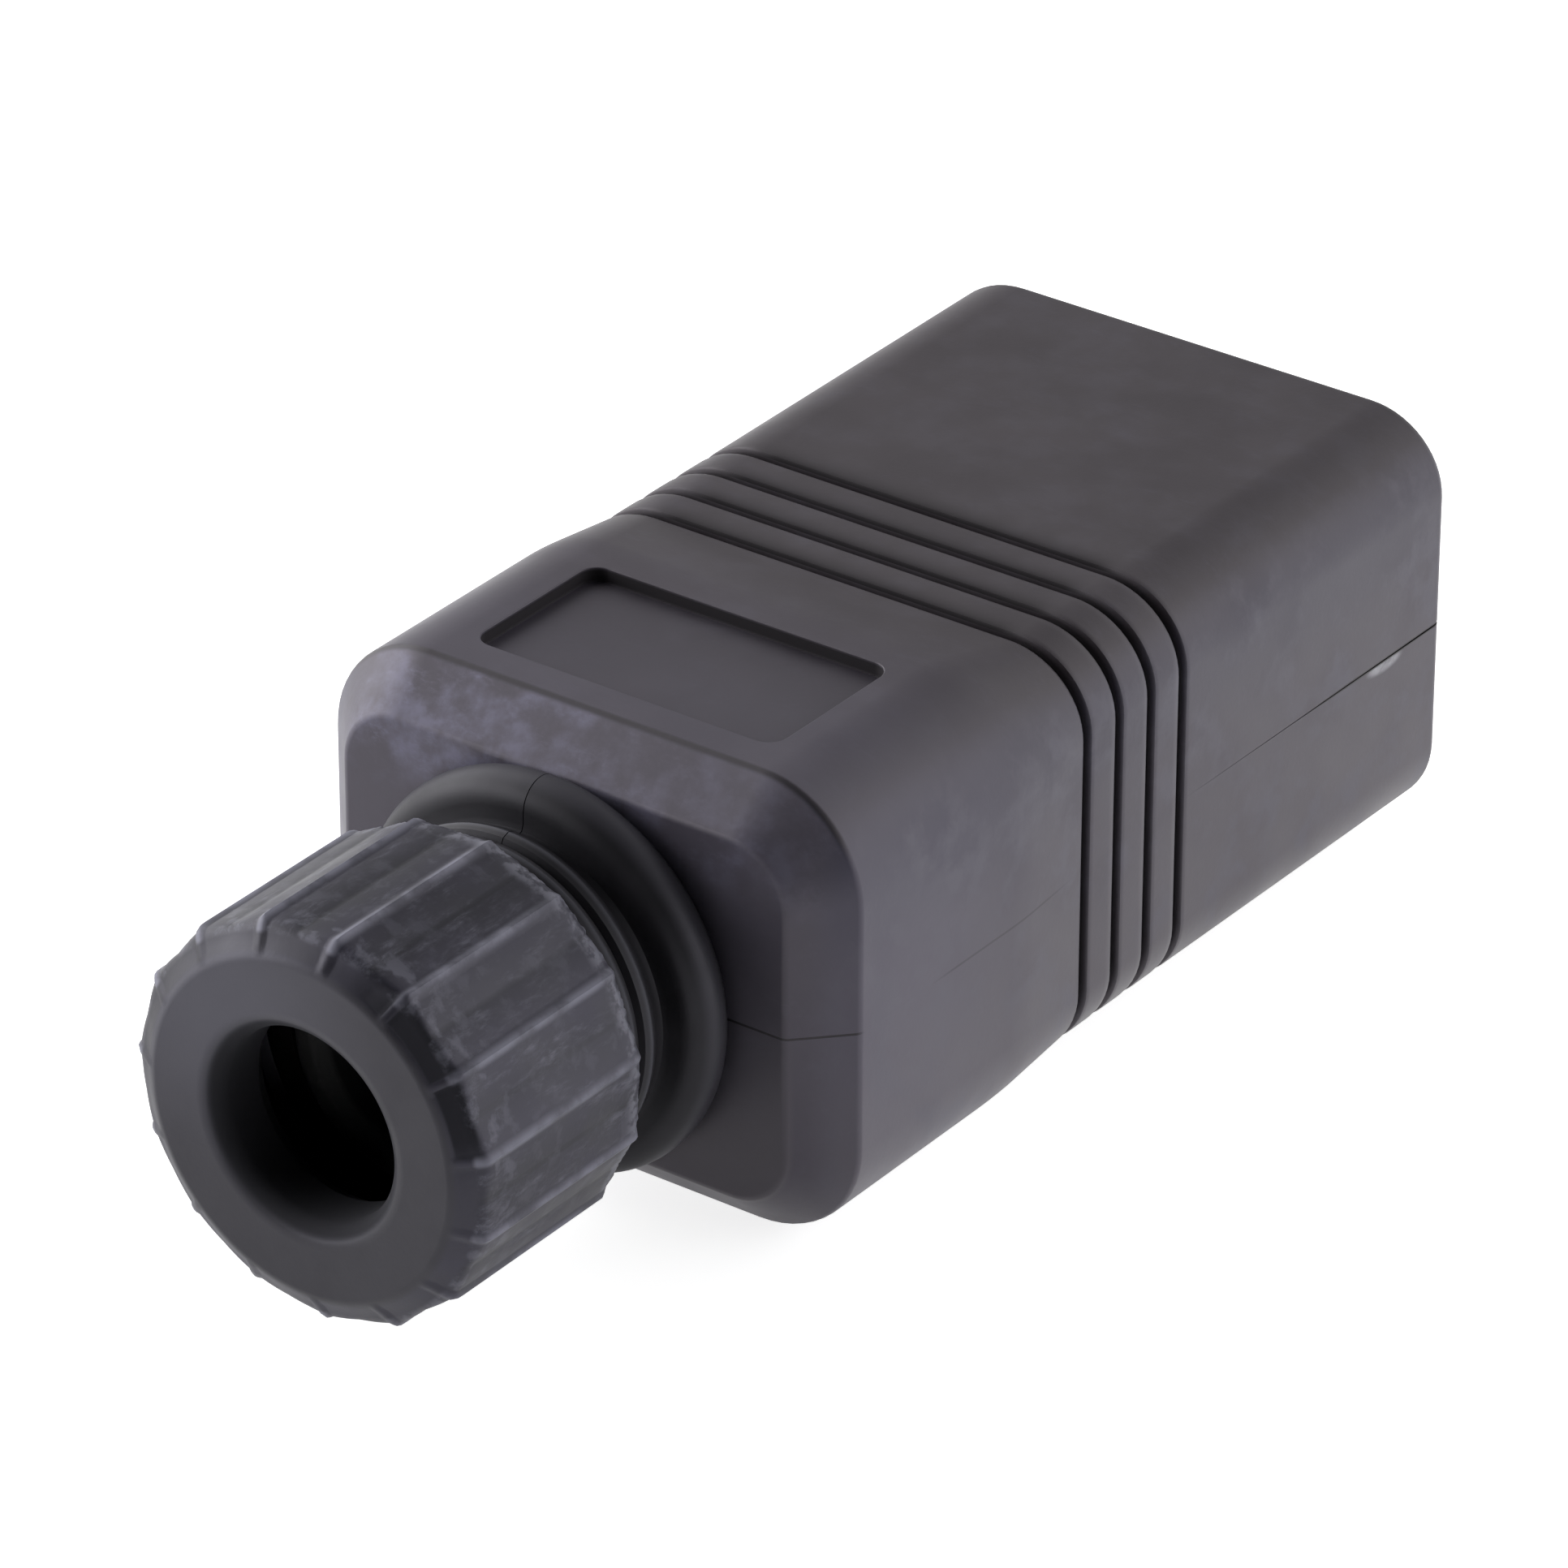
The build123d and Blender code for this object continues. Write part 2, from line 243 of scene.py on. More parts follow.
def roundRim(form):  # round outer rim, flat end and the edge of the recess
    turns = [math.pi / 2 * n / form["rimSteps"] for n in range(form["rimSteps"] + 1)]
    for a, b in zip(turns, turns[1:]):
        bpy.ops.mesh.inset(thickness=form["rim"] * (math.cos(a) - math.cos(b)),
                           depth=form["rim"] * (math.sin(b) - math.sin(a)))
    bpy.ops.mesh.inset(thickness=form["rimFlat"], depth=0)
    for width, depth in form["innerRim"]:
        bpy.ops.mesh.inset(thickness=width, depth=-depth)


def growInside(form):  # recess, seat of the carrier, and the rooms of waist and nose
    edgeWidth, edgeDepth = (sum(steps) for steps in zip(*form["innerRim"]))
    shrunk = 2 * (form["rim"] + form["rimFlat"] + edgeWidth)
    end = {"y": form["rearY"] - edgeDepth, "size": [size - shrunk for size in form["tail"]]}
    growTo(end, form["rearY"] - form["innerRimEnd"], form["recess"])
    for y, size in (("recessFloorY", "recess"), ("recessFloorY", "seat"), ("seatEndY", "seat"),
                    ("seatEndY", "waistRoom"), ("shoulderY", "waistRoom"), ("shoulderY", "noseRoom"),
                    ("frontWallY", "noseRoom")):
        growTo(end, form[y], form[size])


def softenNose(form):  # chamfer round the nose, with its edges and the shoulder rounded
    pick("FACE", lambda f: atStation(form["noseY"])(f) and len(f.verts) > 4)
    bpy.ops.mesh.inset(thickness=form["chamfer"][0], depth=form["chamfer"][1])
    for y in (form["noseY"], form["noseY"] - form["chamfer"][1]):
        pick("EDGE", atStation(y))
        bevel(form["chamferSoft"], form["softSteps"])
    onShoulder = atStation(form["shoulderY"])
    outX, outZ = form["shoulderOut"]  # the room's edges lie nearer to the axis
    pick("EDGE", lambda e: onShoulder(e) and (abs(middle(e).z - axisZ) > outZ or abs(middle(e).x) > outX))
    bevel(form["shoulderSoft"], form["shoulderSteps"])


def pinTool(form, x, radius, low, high):  # plain round tool for columns and screw holes
    return begin("cylinder", vertices=form["holeSides"], radius=radius,
                 depth=high - low, location=(x, form["columnY"], (low + high) / 2))


def addColumns(box, form):  # screw columns, each with its hole and counterbore
    reach = form["noseRoom"][1] / 2 + form["columnRoot"]
    for x in (-form["columnX"], form["columnX"]):
        carve(box, pinTool(form, x, form["column"], axisZ - reach, axisZ + reach), "UNION")
        carve(box, pinTool(form, x, form["screwHole"], *form["screwRun"]))
        carve(box, pinTool(form, x, form["headHole"], *form["headRun"]))


def makeHousing(form):
    box = begin("plane", scale=(*form["nose"], 1), size=1,
                location=(0, form["noseY"], axisZ), rotation=alongAxis)
    box.name = "housing"
    openEdit(box)
    bevel(form["noseCorner"], form["cornerSteps"], "VERTICES")
    pick("FACE", lambda f: True)
    growOutside(form)
    roundRim(form)
    growInside(form)
    softenNose(form)
    faceOutwards()
    closeEdit()
    addColumns(box, form)
    length, ahead = form["collarTool"]
    carve(box, begin("cylinder", vertices=form["collarSides"], radius=form["collarHole"], depth=length,
                     location=(0, form["frontWallY"] - ahead, axisZ), rotation=alongAxis))
    return box


def labelTool(form):  # rounded plate that sinks the label field
    tool = begin("plane", scale=(*form["label"], 1), size=1,
                 location=(0, form["labelY"], form["nose"][1] - form["labelDepth"]))
    openEdit(tool)
    bevel(form["labelCorner"], form["labelSteps"], "VERTICES")
    pick("FACE", lambda f: True)
    extrude(0, 0, form["labelClear"])
    faceOutwards()
    closeEdit()
    return tool


def softenLabel(shell, form):  # round the rim and the foot of the label field
    halfX, halfY = (size / 2 + form["labelSlack"] for size in form["label"])
    top = form["nose"][1]

    def onLabel(height):
        def test(edge):
            spot = middle(edge)
            inside = abs(spot.x) < halfX and abs(spot.y - form["labelY"]) < halfY
            return inside and all(abs(v.co.z - height) < form["labelSlack"] for v in edge.verts)
        return test

    openEdit(shell)
    for height, soft in zip((top, top - form["labelDepth"]), form["labelSoft"]):
        pick("EDGE", onLabel(height))
        bevel(soft, form["softSteps"])
    closeEdit()


def gapeRear(shell, form, side):  # let the parting line open a little towards the mating end
    cut = axisZ + side * form["partingGap"] / 2
    openEdit(shell)
    pick("VERT", lambda v: abs(v.co.z - cut) < near and v.co.y > form["recessFloorY"] + form["gapeStart"])
    bpy.ops.transform.translate(value=(0, 0, side * form["rearGape"]))
    closeEdit()


def makeShell(name, side, whole, form):
    shell = copyOf(whole, name)
    keepSide(shell, (0, 0, axisZ + side * form["partingGap"] / 2), (0, 0, side))
    gapeRear(shell, form, side)
    if side > 0:
        carve(shell, labelTool(form))
        softenLabel(shell, form)
    smooth(shell, form["smooth"])
    return shell


housing = makeHousing(housingForm)
print("housing grown,", len(housing.data.polygons), "faces")
shells = []
for side, name, node in ((1, "upperShell", "upper_shell"), (-1, "lowerShell", "lower_shell")):
    shells.append(makeShell(name, side, housing, housingForm))
    seat(shells[-1], "housing", node)
bpy.data.objects.remove(housing)


# gland nut: a ribbed ring grown from its rear edge round to the bore and back

nutForm = {
    "ribs": 15, "vertsPerRib": 24, "firstRib": 9.0, "tip": 12.0, "valley": 11.5, "turnSlack": 0.25,
    "rearY": -27.35, "frontY": -41.9, "ahead": 20.0, "bar": (0.4, 1.4, 0.4), "smooth": 34,
    "burr": 0.07, "burrReach": 0.4, "burrInner": 10.4, "burrSeed": 4,
    # distance from the rear, and drop on a rib and between ribs
    "rearEdge": [(0.0, 0.38, 0.2), (0.25, 0.15, 0.05), (0.6, 0.0, 0.0)],
    # distance from the front and radius on a rib, the same between ribs, and share of the thin fin
    "ribEnd": [((1.9, 12.0), (1.9, 11.5), 0.0), ((1.45, 11.98), (1.4, 11.5), 0.0),
               ((1.15, 11.88), (1.12, 11.46), 0.1), ((0.92, 11.62), (0.93, 11.36), 0.4),
               ((0.66, 11.2), (0.76, 11.12), 0.8), ((0.4, 10.75), (0.54, 10.75), 1.0),
               ((0.19, 10.4), (0.26, 10.4), 1.0)],
    "finHalf": 0.9, "finFoot": 2.0, "face": 10.15, "faceSoft": 0.4,
    "faceEdge": [(0.3, 0.0), (0.1, 0.4), (0.02, 0.75), (0.0, 1.0)],  # shares of faceSoft, back and inwards
    "bore": 5.7, "lip": 1.3, "lipSteps": 8, "frontWall": 3.65, "room": 10.0, "mouth": 10.2, "mouthEdge": 0.2,
    # thread that lies between the neck's turns
    "toothSides": 4, "toothMiddle": 10.05, "toothHigh": 1.2, "toothWide": 1.0, "pitch": 1.5,
    "threadSteps": 144, "threadStartY": -25.25, "turns": 6, "startTurn": -90.0, "threadSetback": 0.3,
}


def startRing(name, sides, radius, y):
    ring = begin("circle", vertices=sides, radius=radius, location=(0, y, axisZ), rotation=alongAxis)
    ring.name = name
    openEdit(ring)
    return ring


def growRings(start, rings):  # from ring to ring, each at its station and radius
    end = {"y": start[0], "size": (start[1], start[1])}
    for y, radius in rings:
        growTo(end, y, (radius, radius))


def makeThread(name, form):  # one tooth section, wound up by a screw modifier and closed at both ends
    middleAt = (form["toothMiddle"], 0, 0)
    thread = begin("circle", vertices=form["toothSides"], radius=0.5, location=middleAt)
    thread.name = name
    openEdit(thread)
    resize((form["toothHigh"], form["toothWide"], 1), middleAt)
    bpy.ops.transform.translate(value=(0, form["threadStartY"], 0))
    closeEdit()
    modify(thread, "SCREW", axis="Y", steps=form["threadSteps"], render_steps=form["threadSteps"],
           iterations=form["turns"], screw_offset=-form["pitch"])
    openEdit(thread)
    bpy.ops.mesh.fill_holes(sides=0)
    bpy.ops.transform.rotate(value=math.radians(form["startTurn"]), orient_axis="Y",
                             center_override=(0, 0, 0))
    bpy.ops.transform.translate(value=(0, 0, axisZ))
    faceOutwards()
    closeEdit()
    return thread


def ribPhase(form, point):  # degrees to the nearest rib tip
    pitch = 360 / form["ribs"]
    phase = (roundTurn(point) - form["firstRib"]) % pitch
    return min(phase, pitch - phase)


def ribShare(form, phase, fin):  # 0 on a rib's tip, 1 between ribs: a plain slope that turns into a thin fin
    flat, width, height = form["bar"]  # narrow bar on the tip
    past = max(0, phase - flat)
    slope = height * min(1, past / width) + (1 - height) * past / (180 / form["ribs"] - flat)
    wall = min(1, max(0, phase - form["finHalf"]) / (form["finFoot"] - form["finHalf"]))
    return slope + (wall - slope) * fin


def ribRings(form):  # the ribbed rings from the rear edge to the face: places on a tip and in a valley
    rings = []
    for back, tipDrop, valleyDrop in form["rearEdge"]:
        y = form["rearY"] - back
        rings.append(((y, form["tip"] - tipDrop), (y, form["valley"] - valleyDrop), 0.0))
    for tip, valley, fin in form["ribEnd"]:
        rings.append(((form["frontY"] + tip[0], tip[1]), (form["frontY"] + valley[0], valley[1]), fin))
    return rings


def drawBack(form, y, tip, valley, fin):  # draw a plain ring back to its ribbed place
    steps = form["vertsPerRib"] // 2
    for n in range(steps + 1):
        phase = 180 / form["ribs"] * n / steps
        share = ribShare(form, phase, fin)
        newY, radius = (a + (b - a) * share for a, b in zip(tip, valley))
        pick("VERT", lambda v: abs(v.co.y - y) < near
             and abs(ribPhase(form, v.co) - phase) < form["turnSlack"])
        scale = radius / form["tip"]
        resize((scale, 1, scale), (0, y, axisZ))
        bpy.ops.transform.translate(value=(0, newY - y, 0))


def insideRings(form):  # the plain rings from the face through the bore to the mouth
    front, soft, lip = form["frontY"], form["faceSoft"], form["lip"]
    rings = [(front + soft * back, form["face"] - soft * drop) for back, drop in form["faceEdge"]]
    for n in range(form["lipSteps"] + 1):
        turn = math.pi / 2 * n / form["lipSteps"]
        rings.append((front + lip * (1 - math.cos(turn)), form["bore"] + lip * (1 - math.sin(turn))))
    wall = front + form["frontWall"]
    rings += [(wall, form["bore"]), (wall, form["room"]), (form["rearY"] - form["mouthEdge"], form["room"])]
    return rings + [(form["rearY"], form["mouth"])]


def makeNut(form):
    rings = ribRings(form)
    ahead = [form["frontY"] - form["ahead"] + n for n in range(len(rings))]  # plain rings, ahead of the nut
    nut = startRing("glandNut", form["ribs"] * form["vertsPerRib"], form["tip"], ahead[0])
    growRings((ahead[0], form["tip"]), [(y, form["tip"]) for y in ahead[1:]] + insideRings(form))
    for y, ring in zip(ahead, rings):
        drawBack(form, y, *ring)
    pick("EDGE", atStation(form["rearY"]))
    bpy.ops.mesh.bridge_edge_loops()
    faceOutwards()
    ragged = form["rearY"] - form["burrReach"]
    pick("VERT", lambda v: v.co.y > ragged and outRadius(v.co) > form["burrInner"])
    bpy.ops.transform.vertex_random(offset=form["burr"], seed=form["burrSeed"])
    faceOutwards()
    closeEdit()
    thread = makeThread("nutThread", form)
    keepSide(thread, (0, form["rearY"] - form["threadSetback"], 0), (0, -1, 0))
    fuse(nut, thread)
    smooth(nut, form["smooth"])
    return nut


glandNut = makeNut(nutForm)
seat(glandNut, "nut", "gland_nut")


# cord grip: round bead and neck, with a thread wound on the neck

gripForm = {
    "sides": 144, "innerY": -15.85, "backY": -13.65, "bore": 6.6, "innerFlange": 10.7, "collar": 10.2,
    "faceY": -19.25, "beadRadius": 12.0, "beadEndY": -22.45, "beadSteps": 14, "beadFoot": 0.5,
    "footShape": [(0.04, 1.0), (0.3, 0.3), (1.0, 0.0)],  # shares of beadFoot, along the neck and out from it
    "neck": 9.25, "neckEndY": -33.05, "neckEdge": 0.2, "mouth": 7.7, "mouthY": -27.55,
    "split": 0.06, "closing": 0.01, "smooth": 35,
    "toothSides": 8, "toothMiddle": 9.34, "toothHigh": 1.08, "toothWide": 1.29, "crest": 9.88, "pitch": 1.5,
    "threadSteps": 144, "threadStartY": -23.0, "turns": 7, "startTurn": -90.0, "threadSetback": 0.15,
}


def gripRings(form):  # outline from the back over collar, bead and neck into the bore
    rings = [(form["backY"], form["innerFlange"]), (form["innerY"], form["innerFlange"]),
             (form["innerY"], form["collar"]), (form["faceY"], form["collar"])]
    bead = (form["faceY"] - form["beadEndY"]) / 2
    for n in range(form["beadSteps"] + 1):
        turn = math.pi * n / form["beadSteps"]
        rings.append((form["faceY"] - bead + bead * math.cos(turn),
                      form["beadRadius"] - bead + bead * math.sin(turn)))
    for along, out in form["footShape"]:
        rings.append((form["beadEndY"] - form["beadFoot"] * along, form["neck"] + form["beadFoot"] * out))
    return rings + [
        (form["neckEndY"] + form["neckEdge"], form["neck"]),
        (form["neckEndY"], form["neck"] - form["neckEdge"]), (form["neckEndY"], form["mouth"]),
        (form["mouthY"], form["mouth"]), (form["mouthY"], form["bore"]),
        (form["backY"] - form["closing"], form["bore"])]


def makeGrip(form):
    grip = startRing("cordGrip", form["sides"], form["bore"], form["backY"])
    growRings((form["backY"], form["bore"]), gripRings(form))
    faceOutwards()
    bpy.ops.mesh.remove_doubles(threshold=2 * form["closing"])  # the last ring meets the first
    closeEdit()
    return grip


def halfGrip(name, side, whole, thread, form):
    cut = (side * form["split"] / 2, 0, 0)
    half = copyOf(whole, name)
    keepSide(half, cut, (side, 0, 0))
    wound = copyOf(thread, name + "Thread")
    keepSide(wound, cut, (side, 0, 0))
    fuse(half, wound)
    smooth(half, form["smooth"])
    return half


cordGrip = makeGrip(gripForm)
neckThread = makeThread("neckThread", gripForm)
keepSide(neckThread, (0, gripForm["neckEndY"] + gripForm["threadSetback"], 0), (0, 1, 0))
gripHalves = []
for side, name, node in ((-1, "gripLeft", "grip_half_left"), (1, "gripRight", "grip_half_right")):
    gripHalves.append(halfGrip(name, side, cordGrip, neckThread, gripForm))
    seat(gripHalves[-1], "housing", node)
bpy.data.objects.remove(cordGrip)
bpy.data.objects.remove(neckThread)


# housing screws: domed heads with a cross recess, seen in the counterbores below

screwForm = {
    "sides": 48, "x": housingForm["columnX"], "y": housingForm["columnY"], "seat": housingForm["headRun"][1],
    "outline": [(-2.0, 1.5), (-1.96, 2.0), (-1.8, 2.38), (-1.5, 2.6), (-1.15, 2.7), (0.0, 2.7), (0.0, 1.4),
                (13.4, 1.4), (14.0, 0.9)],  # height from the seat and radius
    "cross": (0.9, 3.2, 1.1), "crossTaper": 0.55, "crossSlack": 0.01, "smooth": 35,
}


def turnScrew(form, x):  # head and shank, grown from the top of the head
    lift, radius = form["outline"][0]
    screw = begin("circle", vertices=form["sides"], radius=radius, fill_type="NGON",
                  location=(x, form["y"], form["seat"] + lift))
    openEdit(screw)
    for nextLift, nextRadius in form["outline"][1:]:
        extrude(0, 0, nextLift - lift)
        scale = nextRadius / radius
        resize((scale, scale, 1), (x, form["y"], form["seat"] + nextLift))
        lift, radius = nextLift, nextRadius
    faceOutwards()
    closeEdit()
    return screw


def makeScrew(form, x):
    screw = turnScrew(form, x)
    wide, long, deep = form["cross"]
    foot = form["seat"] + form["outline"][0][0]
    for size in ((wide, long), (long, wide)):
        tool = begin("cube", scale=(*size, 2 * deep), size=1, location=(x, form["y"], foot))
        openEdit(tool)
        pick("FACE", lambda f: middle(f).z > foot + deep - form["crossSlack"])
        bpy.ops.transform.resize(value=(form["crossTaper"], form["crossTaper"], 1))
        closeEdit()
        carve(screw, tool)
    return screw


housingScrews, otherScrew = (makeScrew(screwForm, side * screwForm["x"]) for side in (-1, 1))
fuse(housingScrews, otherScrew)
housingScrews.name = "housingScrews"
smooth(housingScrews, screwForm["smooth"])
seat(housingScrews, "housing", "housing_screws")


# inner pieces: a copy of each node, merged and with its edges eased

innerForm = {  # name, body, slot and edge in mm
    "live_pin": ("pinLive", "housing", "pins", 0.2),
    "neutral_pin": ("pinNeutral", "housing", "pins", 0.2),
    "earth_pin": ("pinEarth", "housing", "pins", 0.2),
    "pin_carrier": ("pinCarrier", "housing", "insulator", 0.2),
    "terminal_screws": ("terminalScrews", "housing", "screws", 0.12),
    "cable_seal": ("cableSeal", "housing", "seal", 0.2),
    "slip_washer": ("slipWasher", "washer", "washer", 0.15),
}
innerEdge = {"merge": 0.002, "flat": 1, "steps": 3, "sharp": 40, "smooth": 35}  # angles in degrees


def easedCopy(node, name, width, form):
    piece = copyOf(bpy.data.objects[node], name)
    rescale(piece, (1 / mm, 1 / mm, 1 / mm))
    openEdit(piece)
    bpy.ops.mesh.remove_doubles(threshold=form["merge"])
    bpy.ops.mesh.dissolve_limited(angle_limit=math.radians(form["flat"]))
    closeEdit()
    modify(piece, "BEVEL", width=width, segments=form["steps"], limit_method="ANGLE",
           angle_limit=math.radians(form["sharp"]))
    smooth(piece, form["smooth"])
    return piece


for node, (name, body, slot, width) in innerForm.items():
    seat(easedCopy(node, name, width, innerEdge), body, node)


# node helpers: every pattern is in mm on the piece's own Object coordinates

def put(tree, kind, values=None, **wires):  # add a node, set its values and wire its inputs
    node = tree.nodes.new("ShaderNode" + kind)
    for name, value in (values or {}).items():
        if name in node.inputs:
            node.inputs[name].default_value = value
        else:
            setattr(node, name, value)
    for name, source in wires.items():
        tree.links.new(source, node.inputs[name])
    return node


def sums(operation, *terms):  # maths on sockets and numbers, in the sockets' own tree
    tree = next(term.id_data for term in terms if not isinstance(term, (int, float)))
    node = tree.nodes.new("ShaderNodeMath")
    node.operation = operation
    for entry, term in zip(node.inputs, terms):
        if isinstance(term, (int, float)):
            entry.default_value = term
        else:
            tree.links.new(term, entry)
    return node.outputs[0]


def both(mask, *others):  # product of masks and numbers
    for other in others:
        mask = sums("MULTIPLY", mask, other)
    return mask


def most(mask, *others):  # strongest of several masks
    for other in others:
        mask = sums("MAXIMUM", mask, other)
    return mask


def awayFrom(value, place):
    return sums("ABSOLUTE", sums("SUBTRACT", value, place))


def ease(value, low, high, start=0.0, end=1.0):  # smooth step from low to high
    limits = {"From Min": low, "From Max": high, "To Min": start, "To Max": end}
    step = put(value.id_data, "MapRange", {"interpolation_type": "SMOOTHSTEP", **limits}, Value=value)
    return step.outputs["Result"]


def tint(mask, under, over):  # one colour over another by a mask
    tree = mask.id_data
    mix = tree.nodes.new("ShaderNodeMix")
    mix.data_type = "RGBA"
    tree.links.new(mask, mix.inputs[0])
    for entry, colour in ((mix.inputs[6], under), (mix.inputs[7], over)):
        if isinstance(colour, tuple):
            entry.default_value = (*colour, 1)
        else:
            tree.links.new(colour, entry)
    return mix.outputs[2]


def inMm(tree):
    where = put(tree, "TexCoord").outputs["Object"]
    return put(tree, "VectorMath", {"operation": "SCALE", "Scale": 1 / mm}, Vector=where).outputs[0]


def newGroup(name, inputs, outputs):
    group = bpy.data.node_groups.new(name, "ShaderNodeTree")
    for label, kind, value in inputs:
        entry = group.interface.new_socket(label, in_out="INPUT", socket_type="NodeSocket" + kind)
        entry.default_value = value
    for label in outputs:
        group.interface.new_socket(label, in_out="OUTPUT", socket_type="NodeSocketFloat")
    return group, group.nodes.new("NodeGroupInput").outputs, group.nodes.new("NodeGroupOutput").inputs


mouldedForm = {
    "clouds": {  # input that gives the pitch, and the noise's own values
        "Height": ("Grain", {"Detail": 3.0, "Roughness": 0.55}),
        "Mottle": ("Mottle", {"Detail": 5.0, "Roughness": 0.55})},
    "scuffs": [  # noise and the part of it that shows
        ({"Scale": 0.55, "Detail": 6.0, "Roughness": 0.7}, (0.46, 0.72)),
        ({"Scale": 2.3, "Detail": 4.0, "Roughness": 0.65}, (0.38, 0.7))],
}


def moulded(form):  # skin of a moulding: fine grain, cloudy mottle and thin streaky scuffs
    group, given, out = newGroup("moulded", [("Grain", "Float", 0.3), ("Mottle", "Float", 5.0),
                                             ("Scuff Stretch", "Vector", (1.0, 1.0, 1.0))],
                                 ["Height", "Mottle", "Scuffs"])
    spot = inMm(group)
    for label, (source, values) in form["clouds"].items():
        pitch = sums("DIVIDE", 1.0, given[source])
        noise = put(group, "TexNoise", values, Vector=spot, Scale=pitch)
        group.links.new(noise.outputs["Fac"], out[label])
    drawn = put(group, "VectorMath", {"operation": "MULTIPLY"}, Vector=spot).outputs[0]
    group.links.new(given["Scuff Stretch"], drawn.node.inputs[1])
    streaks = [ease(put(group, "TexNoise", values, Vector=drawn).outputs["Fac"], *shown)
               for values, shown in form["scuffs"]]
    group.links.new(both(*streaks), out["Scuffs"])
    return group


def roundAxis():  # radius, station and turn round the plug's axis
    group, given, out = newGroup("roundAxis", [], ["Radius", "Along", "Turn"])
    apart = put(group, "SeparateXYZ", Vector=inMm(group)).outputs
    high = sums("SUBTRACT", apart["Z"], axisZ)
    square = sums("ADD", both(apart["X"], apart["X"]), both(high, high))
    group.links.new(sums("SQRT", square), out["Radius"])
    group.links.new(apart["Y"], out["Along"])
    turn = sums("DEGREES", sums("ARCTAN2", high, apart["X"]))
    group.links.new(turn, out["Turn"])
    return group


def softSpot():  # mask that fades out round a place
    group, given, out = newGroup("softSpot", [("Place", "Vector", (0.0, 0.0, 0.0)),
                                              ("Reach", "Vector", (1.0, 1.0, 1.0)), ("Inner", "Float", 0.3)],
                                 ["Mask"])
    away = put(group, "VectorMath", {"operation": "SUBTRACT"}, Vector=inMm(group)).outputs[0]
    group.links.new(given["Place"], away.node.inputs[1])
    share = put(group, "VectorMath", {"operation": "DIVIDE"}, Vector=away).outputs[0]
    group.links.new(given["Reach"], share.node.inputs[1])
    far = put(group, "VectorMath", {"operation": "LENGTH"}, Vector=share).outputs["Value"]
    fade = put(group, "MapRange", {"interpolation_type": "SMOOTHSTEP", "From Min": 1.0,
                                   "To Min": 0.0, "To Max": 1.0}, Value=far)
    group.links.new(given["Inner"], fade.inputs["From Max"])
    group.links.new(fade.outputs["Result"], out["Mask"])
    return group


groups = {"moulded": moulded(mouldedForm), "roundAxis": roundAxis(), "softSpot": softSpot()}


def use(tree, name, values=None):
    node = tree.nodes.new("ShaderNodeGroup")
    node.node_tree = groups[name]
    for label, value in (values or {}).items():
        node.inputs[label].default_value = value
    return node.outputs


def newMaterial(name, settings):
    material = bpy.data.materials.new(name)
    material.use_nodes = True
    shader = material.node_tree.nodes["Principled BSDF"]
    for label, value in settings.items():
        shader.inputs[label].default_value = value
    return material


skinSteps = {"colour": (0.3, 0.75), "rough": (0.25, 0.8)}  # the part of the mottle that shows


def newSkin(name, look):  # a material with its mottled colour and roughness to work on
    material = newMaterial(name, look.get("shader", {}))
    skin = use(material.node_tree, "moulded", look["skin"])
    colour = tint(ease(skin["Mottle"], *skinSteps["colour"]), look["base"], look["cloud"])
    rough = ease(skin["Mottle"], *skinSteps["rough"], *look["rough"])
    return material, skin, colour, rough


def wire(material, look, skin, colour, rough):  # colour, roughness and the grain as a bump
    tree = material.node_tree
    shader = tree.nodes["Principled BSDF"]
    tree.links.new(colour, shader.inputs["Base Color"])
    tree.links.new(rough, shader.inputs["Roughness"])
    bump = put(tree, "Bump", {"Strength": 1.0, "Distance": look["grainDepth"] * mm}, Height=skin["Height"])
    tree.links.new(bump.outputs["Normal"], shader.inputs["Normal"])
    return material
